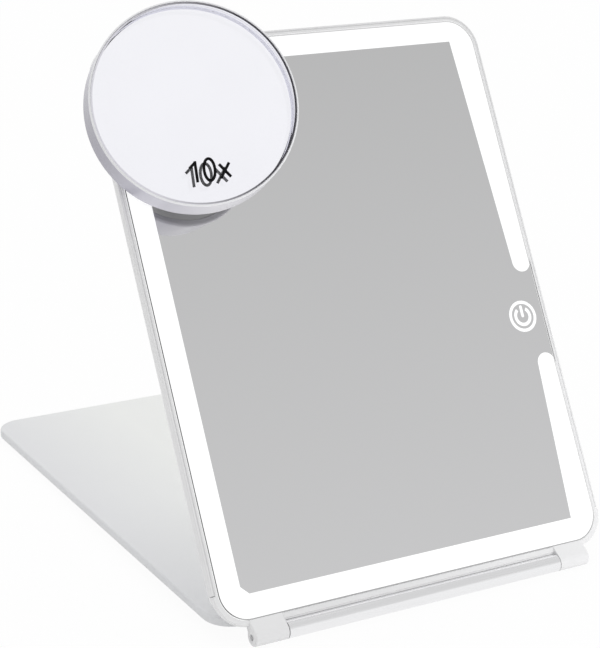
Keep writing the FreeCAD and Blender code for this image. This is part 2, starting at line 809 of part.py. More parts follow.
def make_electrics():
    """Battery, main board, charging inlet, charge light, touch foil and magnet keeper."""
    battery = new_part("battery_cell", PANEL_FRAME)
    x = "(-battery_side)"
    z = f"({BATTERY_RISE_SHARE} * panel_height)"
    layer(
        battery,
        rectangle(
            f"{x} - battery_width / 2",
            f"{x} + battery_width / 2",
            f"{z} - battery_height / 2",
            f"{z} + battery_height / 2",
        ),
        f"{FLOOR} - reflector_thick - battery_thick",
        "battery_thick",
    )
    long_side = measure("battery_height")
    round_edges(battery, lambda edge: edge.BoundBox.ZLength > long_side - TINY, "battery_round")

    board = new_part("main_board", PANEL_FRAME)
    right = f"({HALF} - board_side)"
    left = f"({right} - board_width)"
    low = f"({GAP_Z} - band_gap / 2 + inner_gap)"
    high = f"({GAP_Z} + band_gap / 2 - inner_gap)"
    face = f"({FLOOR} - board_thick)"
    layer(board, rectangle(left, right, low, high), face, "board_thick")
    inlet_x = f"({HALF} - inlet_setback - inlet_length)"
    notch = rectangle(
        inlet_x,
        HALF,
        f"{INLET_Z} - inlet_width / 2",
        f"{INLET_Z} + inlet_width / 2",
    )
    layer_cut(board, notch, face, "board_thick")
    for left_share, right_share, low_share, high_share in BOARD_PART_SHARES:
        outline = rectangle(
            f"{left} + {left_share} * board_width",
            f"{left} + {right_share} * board_width",
            f"{low} + {low_share} * ({high} - {low})",
            f"{low} + {high_share} * ({high} - {low})",
        )
        layer(board, outline, f"({face} - part_thick)", "part_thick")

    inlet = new_part("usb_socket", PANEL_FRAME)
    sketch = new_sketch(inlet, "YZ_Plane", inlet_x)
    draw_path(sketch, stadium(INLET_Y, INLET_Z, "inlet_width", "inlet_height"))
    pad(inlet, sketch, "inlet_length")
    sketch = new_sketch(inlet, "YZ_Plane", f"{inlet_x} + inlet_wall")
    inner_width = "(inlet_width - 2 * inlet_wall)"
    inner_height = "(inlet_height - 2 * inlet_wall)"
    draw_path(sketch, stadium(INLET_Y, INLET_Z, inner_width, inner_height))
    pocket(inlet, sketch, "inlet_length", reverse=True)
    sketch = new_sketch(inlet, "YZ_Plane", inlet_x)
    tongue = "(inlet_width / 2 - inlet_height / 2)"
    draw_path(
        sketch,
        rectangle(
            f"{INLET_Y} - tongue_thick / 2",
            f"{INLET_Y} + tongue_thick / 2",
            f"{INLET_Z} - {tongue}",
            f"{INLET_Z} + {tongue}",
        ),
    )
    pad(inlet, sketch, "inlet_length - inlet_wall")

    light = new_part("charge_light", PANEL_FRAME)
    light_x = f"({HALF} - light_length - light_setback)"
    rod(light, light_x, INLET_Y, f"({KEY_Z} + light_rise)", "light_radius", "light_length")

    foil = new_part("touch_pad", PANEL_FRAME)
    disc(foil, KEY_X, KEY_Z, "touch_radius", GLASS_BACK, "touch_thick")

    keeper = new_part("keeper_plate", PANEL_FRAME)
    disc(keeper, BALL_X, BALL_Z, "keeper_radius", GLASS_BACK, "keeper_thick")


def make_hinge():
    """Pins pressed in the knuckles, friction bushes in the barrel, barrel with its leaf."""
    pins = new_part("hinge_pins", PANEL_FRAME)
    pin_length = "(knuckle_length - pin_setback + knuckle_gap + pin_reach)"
    starts = (f"(pin_setback - {KNUCKLE_OUT})", f"({KNUCKLE_OUT} - pin_setback - {pin_length})")
    for start in starts:
        rod(pins, start, "axis_setback", "-axis_drop", "pin_radius", pin_length)

    barrel = new_part("hinge_barrel", COVER_FRAME)
    rod(barrel, f"-{BARREL_HALF}", "0", "0", "barrel_radius", f"2 * {BARREL_HALF}")
    rise = f"({LEAF_UP} - leaf_low)"
    run = f"({rise} / tan(leaf_angle * 1 deg))"
    skew = "(leaf_thick * tan(leaf_angle / 2 * 1 deg))"
    section = [
        ("0", "leaf_low"),
        ("leaf_bend", "leaf_low"),
        (f"leaf_bend + {run}", LEAF_UP),
        ("leaf_reach", LEAF_UP),
        ("leaf_reach", f"{LEAF_UP} + leaf_thick"),
        (f"leaf_bend + {run} - {skew}", f"{LEAF_UP} + leaf_thick"),
        (f"leaf_bend - {skew}", "leaf_low + leaf_thick"),
        ("0", "leaf_low + leaf_thick"),
    ]
    leaf = new_sketch(barrel, "YZ_Plane", f"leaf_margin - {BARREL_HALF}")
    draw_path(leaf, section)
    pad(barrel, leaf, f"2 * ({BARREL_HALF} - leaf_margin)")
    bush_starts = (f"-{BARREL_HALF}", f"({BARREL_HALF} - bush_length)")
    for start in bush_starts:
        bore(barrel, start, "0", "0", "bush_radius", "bush_length")
    for x in screw_places():
        sketch = new_sketch(barrel, "XY_Plane", LEAF_UP)
        draw_circle(sketch, x, "screw_reach", "screw_radius")
        pocket(barrel, sketch, "leaf_thick", reverse=True)

    bushes = new_part("torque_bushes", COVER_FRAME)
    for start in bush_starts:
        rod(bushes, start, "0", "0", "bush_radius", "bush_length")
    for start in bush_starts:
        bore(bushes, start, "0", "0", "pin_radius + pin_play", "bush_length")


def screw_places():
    """Places along the leaf of its screws."""
    span = f"({BARREL_HALF} - screw_margin)"
    shares = [2 * number / (SCREW_COUNT - 1) - 1 for number in range(SCREW_COUNT)]
    return [f"({share} * {span})" for share in shares]


def make_cover():
    """Lid and stand: a shallow shell, a core board and an inner plate round the leaf."""
    shell = new_part("cover_shell", COVER_FRAME)
    plate(shell, cover_outline("0"), "cover_rise", "cover_thick")
    top = measure(COVER_TOP)
    round_edges(shell, lambda edge: lies_at(edge, "Z", top), "cover_round")
    plate_cut(shell, cover_outline("cover_wall"), "cover_rise", "plate_thick + leaf_thick")
    mouth = rectangle(
        f"-{BARREL_HALF}",
        BARREL_HALF,
        "cover_front - overrun",
        "cover_front + cover_wall + cover_corner",
    )
    plate_cut(shell, mouth, "cover_rise", "plate_thick + leaf_thick")

    core = new_part("cover_core", COVER_FRAME)
    inner = cover_outline("(cover_wall + plate_gap)")
    plate(core, inner, LEAF_UP, "leaf_thick")
    for_leaf = rectangle(
        f"-({BARREL_HALF} - leaf_margin + plate_gap)",
        f"({BARREL_HALF} - leaf_margin + plate_gap)",
        "cover_front",
        "leaf_reach + plate_gap",
    )
    plate_cut(core, for_leaf, LEAF_UP, "leaf_thick")

    inner_plate = new_part("cover_inner_plate", COVER_FRAME)
    plate(inner_plate, inner, "cover_rise", "plate_thick")
    screws = new_part("leaf_screws", COVER_FRAME)
    shank = "(plate_thick + leaf_thick - screw_head_thick)"
    for x in screw_places():
        for radius, thick in (("screw_head", "screw_head_thick"), ("screw_radius", "plate_thick")):
            sketch = new_sketch(inner_plate, "XY_Plane", "cover_rise")
            draw_circle(sketch, x, "screw_reach", radius)
            pocket(inner_plate, sketch, thick, reverse=True)
        sketch = new_sketch(screws, "XY_Plane", "cover_rise")
        draw_circle(sketch, x, "screw_reach", "screw_head")
        pad(screws, sketch, "screw_head_thick")
        sketch = new_sketch(screws, "XY_Plane", "cover_rise + screw_head_thick")
        draw_circle(sketch, x, "screw_reach", "screw_radius")
        pad(screws, sketch, shank)

    feet = new_part("rubber_feet", COVER_FRAME)
    for side in (f"(foot_side - {HALF})", f"({HALF} - foot_side)"):
        sketch = new_sketch(feet, "XY_Plane", "cover_rise")
        draw_circle(sketch, side, FOOT_U, "foot_radius")
        pad(feet, sketch, "foot_thick", reverse=True)
    sole = measure("cover_rise - foot_thick")
    round_edges(feet, lambda edge: lies_at(edge, "Z", sole), "foot_round")


def make_magnifier():
    """Magnet base with a ball, and the round head that swivels on it."""
    base = new_part("swivel_base", BASE_FRAME)
    seat = "(ball_reach - pad_lift - pad_thick)"
    face = f"({seat} - base_thick)"
    neck = "sqrt(ball_radius ^ 2 - stem_radius ^ 2)"
    turned(
        base,
        [
            ("0", "-ball_radius", "0", "0", True),
            ("stem_radius", neck),
            ("stem_radius", face),
            ("base_radius - base_round", face, "base_radius - base_round", f"{face} + base_round", True),
            ("base_radius", f"{face} + base_round"),
            ("base_radius", seat),
            ("magnet_radius", seat),
            ("magnet_radius", f"{seat} - magnet_thick"),
            ("0", f"{seat} - magnet_thick"),
        ],
    )
    magnet = new_part("base_magnet", BASE_FRAME)
    disc(magnet, "0", "0", "magnet_radius", f"{seat} - magnet_thick", "magnet_thick")
    pad_body = new_part("base_pad", BASE_FRAME)
    disc(pad_body, "0", "0", "base_radius", seat, "pad_thick")

    lens_front = f"({HEAD_FRONT} + lens_recess)"
    bowl = "((lens_radius ^ 2 + lens_sag ^ 2) / (2 * lens_sag))"
    deepest = f"({lens_front} + lens_sag)"
    glass_back = f"({deepest} + lens_thick)"
    inside = "(head_radius - head_wall)"

    def back_at(radius):
        """Depth of the glass's back at a radius."""
        return f"({glass_back} - {bowl} + sqrt({bowl} ^ 2 - {radius} ^ 2))"

    glass = new_part("magnifier_glass", HEAD_FRAME)
    turned(
        glass,
        [
            ("0", deepest, "0", f"{deepest} - {bowl}", False),
            ("lens_radius", lens_front),
            ("lens_radius", f"{lens_front} + lens_thick", "0", f"{glass_back} - {bowl}", True),
            ("0", glass_back),
        ],
    )
    silver = new_part("magnifier_mirror", HEAD_FRAME)
    edge = f"({inside} - lens_gap)"
    turned(
        silver,
        [
            ("0", glass_back, "0", f"{glass_back} - {bowl}", False),
            (edge, back_at(edge)),
            (edge, f"{back_at(edge)} + silver_thick", "0", f"{glass_back} + silver_thick - {bowl}", True),
            ("0", f"{glass_back} + silver_thick"),
        ],
    )
    ring = new_part("magnifier_ring", HEAD_FRAME)
    lens_side = "(lens_radius + lens_gap)"
    front_bend = "(head_radius - head_front_round)"
    back_bend = "(head_radius - head_round)"
    turned(
        ring,
        [
            (lens_side, HEAD_FRONT),
            (front_bend, HEAD_FRONT, front_bend, f"{HEAD_FRONT} + head_front_round", True),
            ("head_radius", f"{HEAD_FRONT} + head_front_round"),
            ("head_radius", "ball_inset - head_round", back_bend, "ball_inset - head_round", True),
            (back_bend, "ball_inset"),
            (inside, "ball_inset"),
            (inside, back_at(inside)),
            (lens_side, back_at(inside)),
        ],
    )
    back = new_part("magnifier_back", HEAD_FRAME)
    hollow = "(ball_radius + ball_play)"
    boss = f"({hollow} + socket_wall)"
    boss_front = f"(0 - {hollow} - socket_floor)"
    plate_front = "(ball_inset - back_plate)"
    mouth = f"sqrt({hollow} ^ 2 - ball_inset ^ 2)"
    turned(
        back,
        [
            ("0", boss_front),
            (boss, boss_front),
            (boss, plate_front),
            (edge, plate_front),
            (edge, "ball_inset"),
            (mouth, "ball_inset", "0", "0", False),
            ("0", f"-{hollow}"),
        ],
    )


make_front_frame()
make_rear_shell()
make_glass()
make_lighting()
make_electrics()
make_hinge()
make_cover()
make_magnifier()
doc.recompute()

for item in doc.Objects:
    if "Invalid" in item.State or "Error" in item.State:
        raise RuntimeError(f"{item.Name} failed: {item.State}")
for body in PARTS:
    if body.Shape.isNull() or not body.Shape.isValid() or not body.Shape.Solids:
        raise RuntimeError(f"{body.Label} has no valid solid")

os.makedirs("parts", exist_ok=True)
for body in PARTS:
    body.Shape.exportStep(os.path.join("parts", f"{body.Label}.step"))
    print(body.Label, len(body.Shape.Solids), round(body.Shape.Volume, 1))
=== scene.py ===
import json
import math

import bmesh
import bpy
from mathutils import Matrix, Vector


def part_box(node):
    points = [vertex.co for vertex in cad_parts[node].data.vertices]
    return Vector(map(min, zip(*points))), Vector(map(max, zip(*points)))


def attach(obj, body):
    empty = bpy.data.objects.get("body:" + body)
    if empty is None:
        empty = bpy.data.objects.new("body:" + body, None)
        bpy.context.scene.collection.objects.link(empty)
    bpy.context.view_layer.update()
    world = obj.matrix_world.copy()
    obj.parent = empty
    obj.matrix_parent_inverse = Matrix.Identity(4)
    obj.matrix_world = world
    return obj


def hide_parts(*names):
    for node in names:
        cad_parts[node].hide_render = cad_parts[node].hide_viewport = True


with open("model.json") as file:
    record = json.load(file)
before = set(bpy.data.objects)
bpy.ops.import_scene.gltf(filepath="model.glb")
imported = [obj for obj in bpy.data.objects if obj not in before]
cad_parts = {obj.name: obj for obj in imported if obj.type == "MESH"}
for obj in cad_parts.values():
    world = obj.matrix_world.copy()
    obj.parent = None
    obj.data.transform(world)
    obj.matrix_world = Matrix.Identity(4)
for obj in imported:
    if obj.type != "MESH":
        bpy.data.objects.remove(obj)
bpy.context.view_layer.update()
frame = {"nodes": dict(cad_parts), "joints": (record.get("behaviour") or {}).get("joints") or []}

nodes = frame["nodes"]
MM = 0.001

# Camera, at the photograph's angle
CAMERA_PLACE = (-0.38734, -0.55178, 0.35414)
CAMERA_TURN = (70.005, -2.021, -29.981)
SENSOR_WIDTH = 36.0
FOCAL_PIXELS = 2000.0
PICTURE_HEIGHT = 648.0

# Light: a white room, greyer above at the right, a wide soft lamp from behind and above,
# a small lamp at the right and a floor that shows nearly white
ROOM_FILL = 0.68
ABOVE_TONE = 0.75
ABOVE_FROM = 0.3
ABOVE_TO = 0.42
RIGHT_FROM = 0.22
RIGHT_TO = 0.36
SUN_STRENGTH = 0.84
SUN_SPREAD = 60.0
SUN_TURN = (33.0, 0.0, 168.0)
SIDE_POWER = 0.27
SIDE_SIZE = 0.12
SIDE_PLACE = (0.2, -0.26, 0.08)
FLOOR_SIZE = 12.0
FLOOR_COLOUR = (0.95, 0.95, 0.95, 1.0)
FLOOR_WHITE = 0.95

# The panel leans back, the magnifier's head is turned to the left on it
LEAN = math.radians(31.6)
HEAD_TURN = math.radians(-12.0)
PANEL_UP = Vector((0.0, math.sin(LEAN), math.cos(LEAN)))
PANEL_OUT = Vector((0.0, -math.cos(LEAN), math.sin(LEAN)))
SIDEWAYS = Vector((1.0, 0.0, 0.0))
HEAD_OUT = PANEL_OUT * math.cos(HEAD_TURN) + SIDEWAYS * math.sin(HEAD_TURN)
HEAD_RIGHT = SIDEWAYS * math.cos(HEAD_TURN) - PANEL_OUT * math.sin(HEAD_TURN)

# The printed figure, in millimetres from the ball's centre; the last three are shares of half a stroke
FIGURE_BASE = -29.6
FIGURE_HEIGHT = 8.0
FIGURE_STROKE = 1.1
FIGURE_LEAN = 0.0885
ONE_STEM = -5.85
ONE_FLAG = (-2.4, -2.4)
ZERO_MIDDLE = -0.79
ZERO_HALF = 2.05
CROSS_MIDDLE = 4.95
CROSS_HALF = 1.95
CROSS_HEIGHT = 5.4
ZERO_STEPS = 64
ZERO_OVER = 0.2
FLAG_ACROSS = 0.5
FLAG_DOWN = 0.6

# Thickness of all inks
INK_THICK = 0.03

# The magnifier's glass and its silver, turned round the head's axis
LENS_SAG = 0.5
LENS_RINGS = 28
LENS_BEVEL = 0.15
SILVER_IN = 0.05
SILVER_THICK = 0.03
SILVER_TOP = 0.45
TURN_STEPS = 192
SHARP_ANGLE = math.radians(30.0)

# Materials: the part of a pattern that is used, its scales, and how uneven each kind's gloss is
PATTERN_LOW = 0.3
PATTERN_HIGH = 0.7
TONE_FROM = 0.35
TONE_TO = 0.65
MOTTLE_SCALE = 35.0
GLOSS_SCALE = 90.0
FINE_SCALE = 900.0
PLASTIC_UNEVEN = 0.12
METAL_UNEVEN = 0.2
SHEET_UNEVEN = 0.1
CLEAR_UNEVEN = 0.3
CLEAR_SHADE = 0.985
PLASTIC_IOR = 1.49
GLASS_IOR = 1.5

# The cover's plastic: pale along its middle, greyer at its long edges by painted shade
LID_MIDDLE = 0.35
LID_PALE = (0.87, 0.88, 0.865)
LID_EDGE_PAINTED_SHADE = (0.765, 0.77, 0.785)

# The head's ring: a white front lip on a lavender side, whose paling from left to right is painted shade
LIP_DEPTH = 0.55
LIP_COLOUR = (0.9, 0.9, 0.92, 1.0)
RING_PAINTED_SHADE = ((0.0, (0.28, 0.27, 0.33)), (0.16, (0.54, 0.53, 0.61)), (0.5, (0.86, 0.85, 0.9)))

# Sealing ink on the rim of the magnifier's glass, pale at the left and dark at the right; this fade is
# painted shade
EDGE_IN = 0.06
EDGE_WIDTH = 0.65
EDGE_LIFT = 0.01
EDGE_FROM = 0.2
EDGE_TO = 0.8
EDGE_PALE = (0.8, 0.79, 0.85)
EDGE_DARK = (0.04, 0.038, 0.05)

# Ground edge of the mirror's glass, partly its own pale grey and partly painted shade: dark at the left,
# grey below, pale at the top and right
SEAM_WIDTH = 0.42
SEAM_LIFT = 0.01
SEAM_LEFT_SHADE = 0.14
SEAM_BELOW_SHADE = 0.45
SEAM_PALE = 0.72
SEAM_FROM = -0.97
SEAM_TO = -0.88
GLASS_CORNER = 11.2
CORNER_STEPS = 16

# Pale strip that fills the groove between the frame and the rear shell's lip, painted light that hides the
# groove's shade; from the glass's edge and front
GROOVE_FILL_NEAR = 1.22
GROOVE_FILL_FAR = 1.48
GROOVE_FILL_FRONT = 0.27
GROOVE_FILL_BACK = 1.25


def new_material(name):
    """A node material and its shader."""
    made = bpy.data.materials.new(name)
    made.use_nodes = True
    tree = made.node_tree
    return made, tree, tree.nodes["Principled BSDF"]


def set_values(shader, **values):
    """Set a shader's own sockets; words in names are joined by underscores."""
    for name, value in values.items():
        shader.inputs[name.replace("_", " ")].default_value = value


def object_place(tree):
    """Coordinates that stay with the piece."""
    return tree.nodes.new("ShaderNodeTexCoord").outputs["Object"]


def noise(tree, scale, detail=3.0, stretch=None):
    """A noise pattern; stretch makes it long in one direction."""
    texture = tree.nodes.new("ShaderNodeTexNoise")
    texture.inputs["Scale"].default_value = scale
    texture.inputs["Detail"].default_value = detail
    place = object_place(tree)
    if stretch:
        mapping = tree.nodes.new("ShaderNodeMapping")
        mapping.inputs["Scale"].default_value = stretch
        tree.links.new(place, mapping.inputs["Vector"])
        place = mapping.outputs["Vector"]
    tree.links.new(place, texture.inputs["Vector"])
    return texture.outputs["Fac"]


def carry(tree, source, start, end, low=0.0, high=1.0, kind="LINEAR"):
    """A value carried from one range to another, straight or by a smooth step."""
    ranged = tree.nodes.new("ShaderNodeMapRange")
    ranged.interpolation_type = kind
    limits = (("From Min", start), ("From Max", end), ("To Min", low), ("To Max", high))
    for name, value in limits:
        ranged.inputs[name].default_value = value
    tree.links.new(source, ranged.inputs["Value"])
    return ranged.outputs["Result"]


def tone_step(tree, source, start, end, low, high):
    """A smooth step of tone between two values of a source."""
    return carry(tree, source, start, end, low, high, kind="SMOOTHSTEP")


def toned(tree, source, *stops):
    """Colour by a value, through (position, colour) stops."""
    ramp = tree.nodes.new("ShaderNodeValToRGB")
    elements = ramp.color_ramp.elements
    first, *between, last = stops
    for element, (position, colour) in ((elements[0], first), (elements[-1], last)):
        element.position = position
        element.color = (*colour, 1.0)
    for position, colour in between:
        elements.new(position).color = (*colour, 1.0)
    tree.links.new(source, ramp.inputs["Fac"])
    return ramp.outputs["Color"]


def tint(tree, shader, source, low, high):
    """Colour between two tones, by a pattern."""
    tone = toned(tree, source, (TONE_FROM, low), (TONE_TO, high))
    tree.links.new(tone, shader.inputs["Base Color"])


def gloss(tree, shader, source, low, high):
    """Roughness between two values, by a pattern."""
    rough = carry(tree, source, PATTERN_LOW, PATTERN_HIGH, low, high)
    tree.links.new(rough, shader.inputs["Roughness"])


def around(value, share):
    """The range from a share below a value to the same share above it."""
    return value * (1.0 - share), value * (1.0 + share)


def bump(tree, shader, source, strength, height):
    """Relief from a pattern, its height in metres."""
    relief = tree.nodes.new("ShaderNodeBump")
    relief.inputs["Strength"].default_value = strength
    relief.inputs["Distance"].default_value = height
    tree.links.new(source, relief.inputs["Height"])
    tree.links.new(relief.outputs["Normal"], shader.inputs["Normal"])


def extreme(tree, kind, one, other):
    """The larger or the smaller of two values."""
    node = tree.nodes.new("ShaderNodeMath")
    node.operation = kind
    tree.links.new(one, node.inputs[0])
    tree.links.new(other, node.inputs[1])
    return node.outputs["Value"]


def along_axis(tree, origin, axis):
    """How far a point of a piece lies from an origin along an axis, in metres."""
    away = tree.nodes.new("ShaderNodeVectorMath")
    away.operation = "SUBTRACT"
    away.inputs[1].default_value = origin
    tree.links.new(object_place(tree), away.inputs[0])
    measure = tree.nodes.new("ShaderNodeVectorMath")
    measure.operation = "DOT_PRODUCT"
    measure.inputs[1].default_value = axis
    tree.links.new(away.outputs["Vector"], measure.inputs[0])
    return measure.outputs["Value"]


def moulded_finish(tree, shader, roughness, grain_scale, grain_height):
    """The uneven gloss and the fine spark-eroded grain of moulded plastic."""
    set_values(shader, Metallic=0.0, IOR=PLASTIC_IOR)
    gloss(tree, shader, noise(tree, GLOSS_SCALE), *around(roughness, PLASTIC_UNEVEN))
    bump(tree, shader, noise(tree, grain_scale, detail=2.0), strength=0.35, height=grain_height)


def moulded_plastic(name, low, high, roughness, grain_scale, grain_height):
    """Moulded plastic of close tones."""
    made, tree, shader = new_material(name)
    tint(tree, shader, noise(tree, MOTTLE_SCALE), low, high)
    moulded_finish(tree, shader, roughness, grain_scale, grain_height)
    return made


def lid_plastic_painted_shade(roughness, grain_scale, grain_height):
    """The cover's moulded plastic, a little greyer and cooler towards its long edges: painted shade."""
    made, tree, shader = new_material("lid_white_painted_shade")
    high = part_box("cover_shell")[1]
    beside = tree.nodes.new("ShaderNodeMath")
    beside.operation = "ABSOLUTE"
    tree.links.new(along_axis(tree, Vector(), SIDEWAYS / high[0]), beside.inputs[0])
    tone = toned(tree, beside.outputs["Value"], (LID_MIDDLE, LID_PALE), (1.0, LID_EDGE_PAINTED_SHADE))
    tree.links.new(tone, shader.inputs["Base Color"])
    moulded_finish(tree, shader, roughness, grain_scale, grain_height)
    return made


def brushed_metal(name, low, high, roughness, stretch):
    """Metal with fine lines along one direction."""
    made, tree, shader = new_material(name)
    set_values(shader, Metallic=1.0)
    lines = noise(tree, scale=1800.0, detail=2.0, stretch=stretch)
    tint(tree, shader, lines, low, high)
    gloss(tree, shader, lines, *around(roughness, METAL_UNEVEN))
    bump(tree, shader, lines, strength=0.05, height=0.000002)
    return made


def silvered_painted_shade(name, low, high, bottom, top):
    """Mirror: clear silvering whose tone goes slowly from the bottom to the top; this change of tone is
    painted shade, not a change in the silvering.
    """
    made, tree, shader = new_material(name)
    set_values(shader, Metallic=1.0)
    split = tree.nodes.new("ShaderNodeSeparateXYZ")
    tree.links.new(object_place(tree), split.inputs["Vector"])
    rise = carry(tree, split.outputs["Z"], bottom, top)
    tree.links.new(toned(tree, rise, (0.0, low), (1.0, high)), shader.inputs["Base Color"])
    gloss(tree, shader, noise(tree, scale=60.0), low=0.012, high=0.03)
    return made


def lit_frost(name, strength):
    """Etched glass lit from behind."""
    made, tree, shader = new_material(name)
    set_values(shader, Emission_Color=(1.0, 1.0, 1.0, 1.0), Emission_Strength=strength, IOR=GLASS_IOR)
    frost = noise(tree, scale=2600.0, detail=2.0)
    tint(tree, shader, frost, low=(0.3, 0.305, 0.31), high=(0.34, 0.34, 0.34))
    gloss(tree, shader, frost, low=0.45, high=0.65)
    bump(tree, shader, frost, strength=0.2, height=0.000004)
    return made


def clear_solid(name, colour, ior, roughness):
    """Clear moulding or glass, with the faint unevenness of a polished surface."""
    made, tree, shader = new_material(name)
    set_values(shader, Transmission_Weight=1.0, IOR=ior)
    shade = [tone * CLEAR_SHADE for tone in colour]
    tint(tree, shader, noise(tree, scale=25.0), shade, colour)
    gloss(tree, shader, noise(tree, scale=70.0), *around(roughness, CLEAR_UNEVEN))
    return made


def soft_sheet(name, low, high, roughness, scale, height):
    """Matt sheet, foil, rubber or foam, with its own grain."""
    made, tree, shader = new_material(name)
    pattern = noise(tree, scale)
    tint(tree, shader, pattern, low, high)
    gloss(tree, shader, pattern, *around(roughness, SHEET_UNEVEN))
    bump(tree, shader, pattern, strength=0.5, height=height)
    return made


def ink(name):
    """Printed black, slightly uneven in gloss."""
    made, tree, shader = new_material(name)
    set_values(shader, Specular_IOR_Level=0.1)
    speck = noise(tree, FINE_SCALE)
    tint(tree, shader, speck, low=(0.002, 0.002, 0.0025), high=(0.004, 0.004, 0.005))
    gloss(tree, shader, speck, low=0.4, high=0.55)
    return made


def edge_ink_painted_shade(origin, radius):
    """Sealing ink whose fade is painted shade: pale at the left, where the pale ring shows through, dark at
    the right.
    """
    made, tree, shader = new_material("edge_ink_painted_shade")
    across = carry(tree, along_axis(tree, origin, HEAD_RIGHT), -radius, radius)
    tone = toned(tree, across, (EDGE_FROM, EDGE_PALE), (EDGE_TO, EDGE_DARK))
    tree.links.new(tone, shader.inputs["Base Color"])
    gloss(tree, shader, noise(tree, FINE_SCALE), low=0.5, high=0.65)
    return made


def ring_with_painted_shade():
    """The head's ring: white front lip, satin lavender side with painted shade."""
    made, tree, shader = new_material("ring_with_painted_shade")
    set_values(shader, Metallic=0.0, IOR=PLASTIC_IOR)
    origin = ball_centre()
    front = turned_edge("magnifier_glass")[1]
    lip = carry(tree, along_axis(tree, origin, HEAD_OUT), front - LIP_DEPTH * MM, front)
    mixed = tree.nodes.new("ShaderNodeMix")
    mixed.data_type = "RGBA"
    tree.links.new(lip, mixed.inputs["Factor"])
    tree.links.new(ring_side_painted_shade(tree, origin), mixed.inputs["A"])
    mixed.inputs["B"].default_value = LIP_COLOUR
    tree.links.new(mixed.outputs["Result"], shader.inputs["Base Color"])
    gloss(tree, shader, noise(tree, GLOSS_SCALE), low=0.2, high=0.27)
    bump(tree, shader, noise(tree, FINE_SCALE, detail=2.0), strength=0.3, height=0.000008)
    return made


def ring_side_painted_shade(tree, origin):
    """The lavender of the ring's side, with painted shade: dark at the left, paling to the right."""
    reach = turned_edge("magnifier_ring")[0]
    across = carry(tree, along_axis(tree, origin, HEAD_RIGHT), -reach, reach)
    return toned(tree, across, *RING_PAINTED_SHADE)


def ground_edge_painted_shade():
    """The ground edge of the glass with painted shade: dark at the left, grey below, pale at the top and
    right.
    """
    made, tree, shader = new_material("ground_edge_painted_shade")
    half, low, high, _ = glass_limits()
    rise = (high - low) / 2
    across = along_axis(tree, Vector(), SIDEWAYS / half)
    up = along_axis(tree, PANEL_UP * (low + rise), PANEL_UP / rise)
    left = tone_step(tree, across, SEAM_FROM, SEAM_TO, SEAM_LEFT_SHADE, SEAM_PALE)
    below = tone_step(tree, up, SEAM_FROM, SEAM_TO, SEAM_BELOW_SHADE, SEAM_PALE)
    tree.links.new(extreme(tree, "MINIMUM", left, below), shader.inputs["Base Color"])
    gloss(tree, shader, noise(tree, FINE_SCALE), low=0.45, high=0.6)
    return made


def dress(material, *names):
    """Give nodes a material."""
    for name in names:
        slots = nodes[name].data.materials
        slots.clear()
        slots.append(material)


def dress_nodes():
    """Materials of all CAD nodes."""
    low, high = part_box("mirror_glass")
    # The panel's mirror is paler at the bottom and darker at the top: painted shade.
    mirror = silvered_painted_shade("silvered_mirror_painted_shade", (0.76, 0.76, 0.767), (0.643, 0.643, 0.647), low[2], high[2])
    shiny = moulded_plastic("gloss_white", (0.855, 0.855, 0.862), (0.87, 0.87, 0.876), 0.24, 700.0, 0.00001)
    satin = moulded_plastic("satin_white", (0.83, 0.83, 0.835), (0.85, 0.85, 0.855), 0.4, 1500.0, 0.00002)
    # The cover's greyer long edges are painted shade.
    lid = lid_plastic_painted_shade(0.45, 1700.0, 0.00002)
    frost = lit_frost("lit_frost", 0.78)
    pearl = brushed_metal("pearl_satin", (0.86, 0.86, 0.87), (0.88, 0.88, 0.89), 0.24, (0.01, 1.0, 1.0))
    steel = brushed_metal("bright_steel", (0.55, 0.55, 0.56), (0.63, 0.63, 0.64), 0.28, (1.0, 1.0, 0.1))
    nickel = brushed_metal("nickel", (0.6, 0.58, 0.55), (0.68, 0.66, 0.62), 0.22, (1.0, 0.1, 1.0))
    bronze = brushed_metal("bush_bronze", (0.46, 0.33, 0.17), (0.55, 0.4, 0.22), 0.35, (0.1, 1.0, 1.0))
    dress(mirror, "mirror_glass")
    dress(shiny, "front_frame", "swivel_base", "magnifier_back")
    dress(satin, "rear_shell")
    dress(lid, "cover_shell", "cover_inner_plate")
    dress(frost, "light_window", "touch_icon")
    dress(pearl, "hinge_barrel")
    dress(steel, "hinge_pins", "leaf_screws", "keeper_plate")
    dress(nickel, "base_magnet", "usb_socket")
    dress(bronze, "torque_bushes")
    dress(ring_with_painted_shade(), "magnifier_ring")
    dress(clear_solid("light_pipe", (0.92, 0.93, 0.93), PLASTIC_IOR, 0.12), "charge_light")
    dress_inside()


